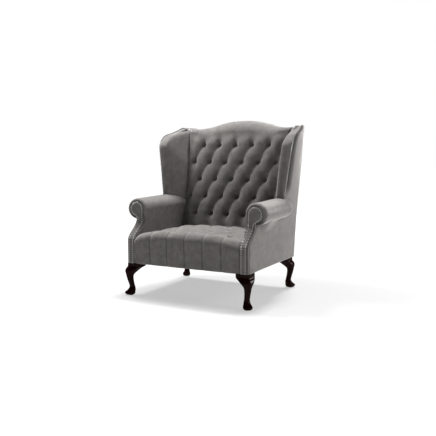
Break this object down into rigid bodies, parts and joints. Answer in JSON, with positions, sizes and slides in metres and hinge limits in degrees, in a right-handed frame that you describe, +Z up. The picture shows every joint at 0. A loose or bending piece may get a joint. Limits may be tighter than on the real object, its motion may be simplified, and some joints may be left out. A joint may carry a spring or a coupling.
{
  "type": "chair and a half",
  "caption": "Wide wing chair with a deep-buttoned back and seat, scroll arms, nailed edges and dark cabriole legs, for one person to sit in with room to spare.",
  "frame": {"origin": "middle of the chair's box on the floor", "axes": "+Z up, the chair faces -Y, +X to the right seen from the front"},
  "size_m": [1.0238, 0.936, 1.158],
  "materials": {
    "fabric": "matt grey velvet",
    "mahogany": "polished, dark stained",
    "beech": "planed, unfinished",
    "spring_steel": "drawn wire, satin",
    "webbing": "woven",
    "nylon": "moulded",
    "dust_cloth": "thin, black"
  },
  "bodies": {
    "root": {"back_pad": "fabric", "back_strap_1": "webbing", "back_strap_2": "webbing", "back_strap_3": "webbing", "back_strap_4": "webbing", "back_strap_5": "webbing", "centre_rail": "beech", "crest_rail": "beech", "dust_cover": "dust_cloth", "front_left_corner_block": "beech", "front_left_glide": "nylon", "front_left_leg": "mahogany", "front_left_leg_bolt": "spring_steel", "front_rail": "beech", "front_right_corner_block": "beech", "front_right_glide": "nylon", "front_right_leg": "mahogany", "front_right_leg_bolt": "spring_steel", "left_arm_facing": "fabric", "left_arm_pad": "fabric", "left_arm_rail": "beech", "left_front_post": "beech", "left_outside_panel": "fabric", "left_rear_post": "beech", "left_side_rail": "beech", "left_wing_board": "beech", "left_wing_pad": "fabric", "lower_back_rail": "beech", "outside_back_panel": "fabric", "rear_left_corner_block": "beech", "rear_left_glide": "nylon", "rear_left_leg": "mahogany", "rear_left_leg_bolt": "spring_steel", "rear_rail": "beech", "rear_right_corner_block": "beech", "rear_right_glide": "nylon", "rear_right_leg": "mahogany", "rear_right_leg_bolt": "spring_steel", "right_arm_facing": "fabric", "right_arm_pad": "fabric", "right_arm_rail": "beech", "right_front_post": "beech", "right_outside_panel": "fabric", "right_rear_post": "beech", "right_side_rail": "beech", "right_wing_board": "beech", "right_wing_pad": "fabric", "seat_pad": "fabric", "seat_spring_1": "spring_steel", "seat_spring_2": "spring_steel", "seat_spring_3": "spring_steel", "seat_spring_4": "spring_steel", "seat_spring_5": "spring_steel"}
  },
  "joints": []
}
